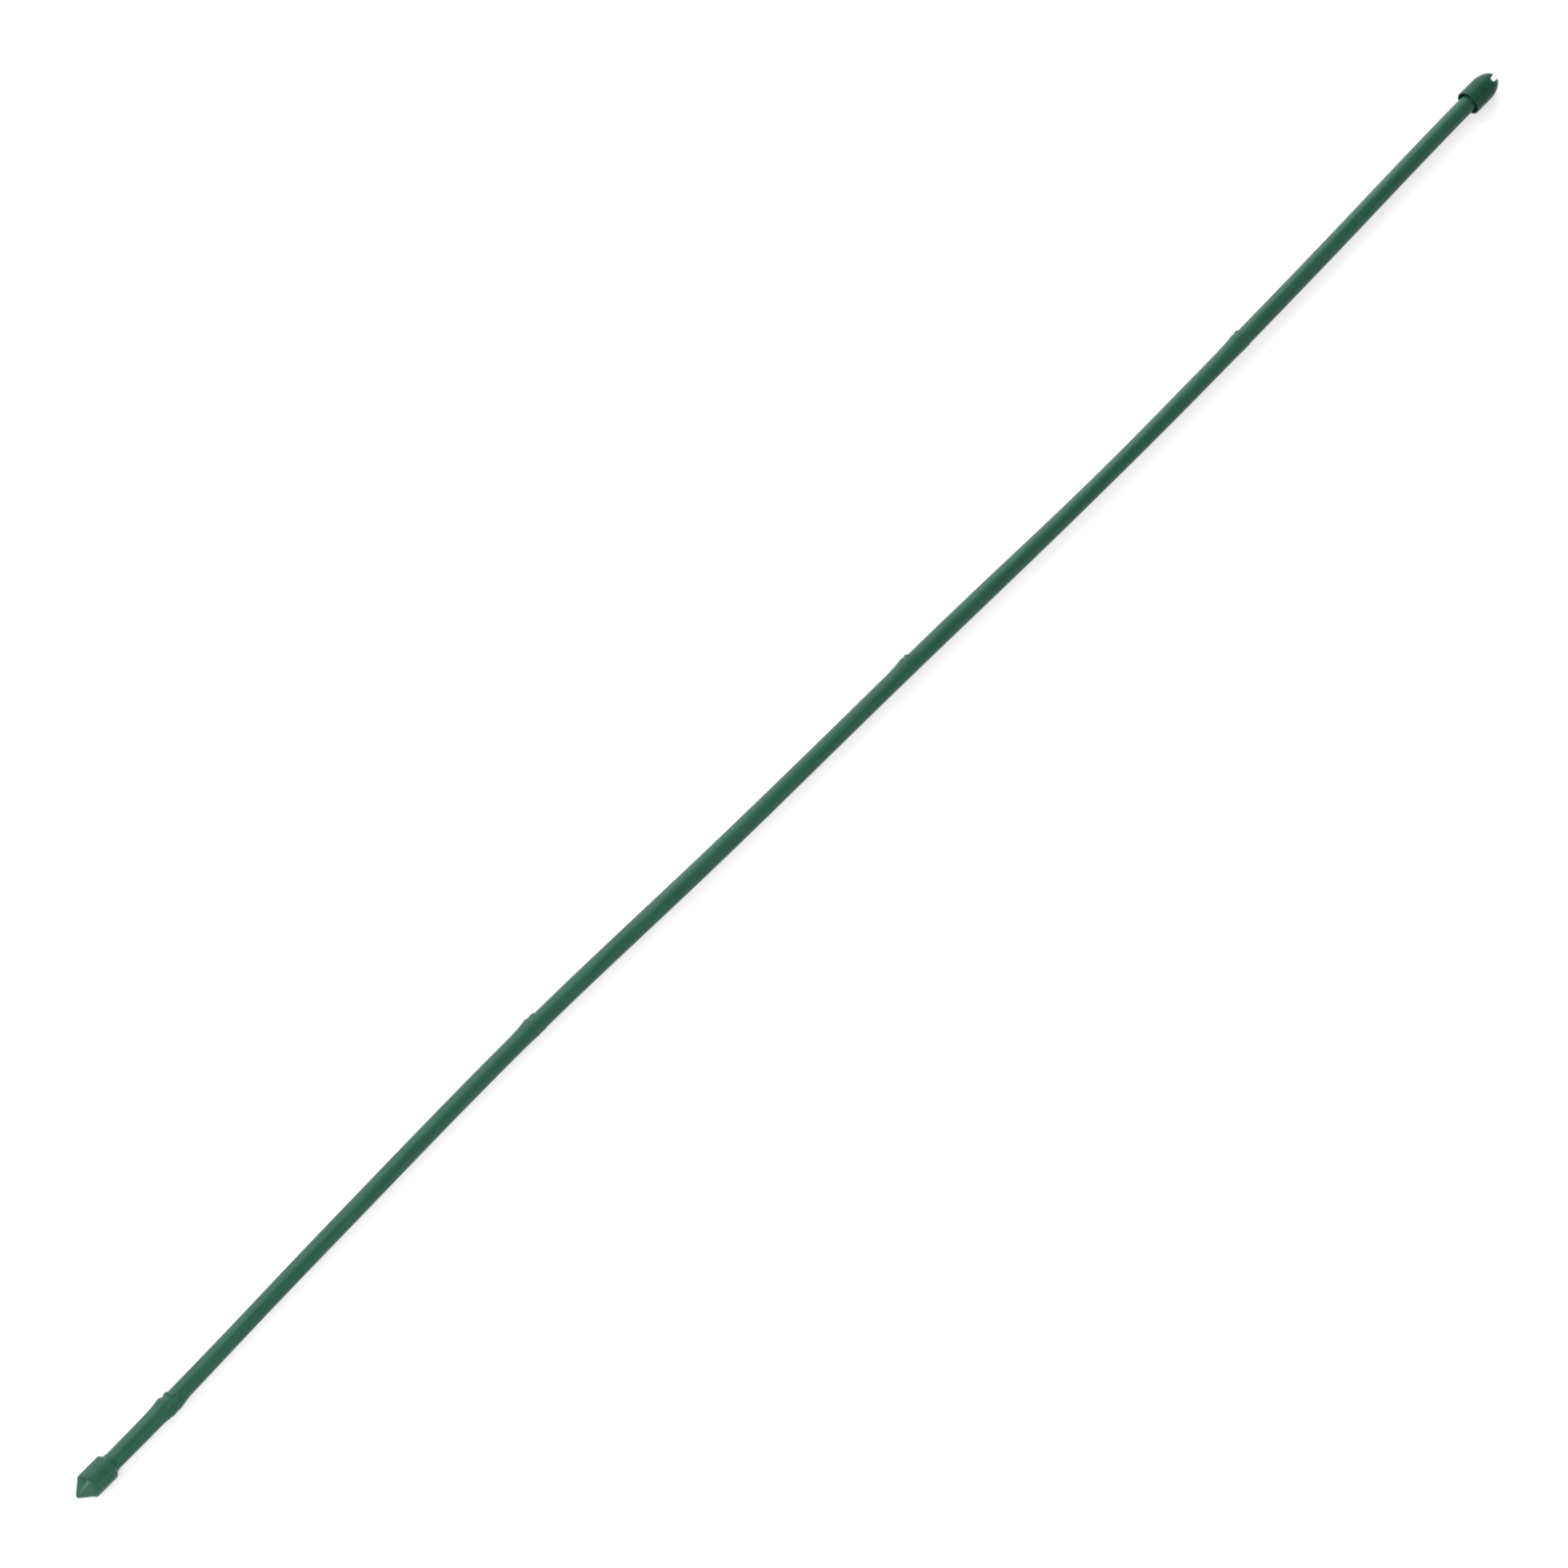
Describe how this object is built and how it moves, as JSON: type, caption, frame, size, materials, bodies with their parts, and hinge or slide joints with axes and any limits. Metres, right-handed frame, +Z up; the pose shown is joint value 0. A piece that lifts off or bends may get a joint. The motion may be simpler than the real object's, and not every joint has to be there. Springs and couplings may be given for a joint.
{
  "type": "plant stake",
  "caption": "Long thin garden stake: a steel tube in a cane-look plastic coating, with a pointed push-on foot and a notched push-on top cap, for tying up plants.",
  "frame": {"origin": "on the ground under the middle of the length, with the stake lying on its two caps", "axes": "+X along the stake from the point to the notched cap, +Z up, +Y to the side"},
  "size_m": [1.1998, 0.0209, 0.0147],
  "materials": {
    "zinc_steel": "thin zinc on welded steel strip",
    "coating_green": "dark green polyethylene, satin, with fine drawn streaks",
    "cap_green": "dark green moulded polyethylene, satin"
  },
  "bodies": {
    "stem": {"steel_tube": "zinc_steel", "plastic_coating": "coating_green"},
    "foot": {"foot_point": "cap_green"},
    "top": {"top_cap": "cap_green"}
  },
  "joints": [
    {"name": "foot_pull", "type": "slide", "parent": "stem", "child": "foot", "axis": [-1, 0, 0], "range_m": [0, 0.03]},
    {"name": "top_pull", "type": "slide", "parent": "stem", "child": "top", "axis": [1, 0, 0], "range_m": [0, 0.03]}
  ]
}
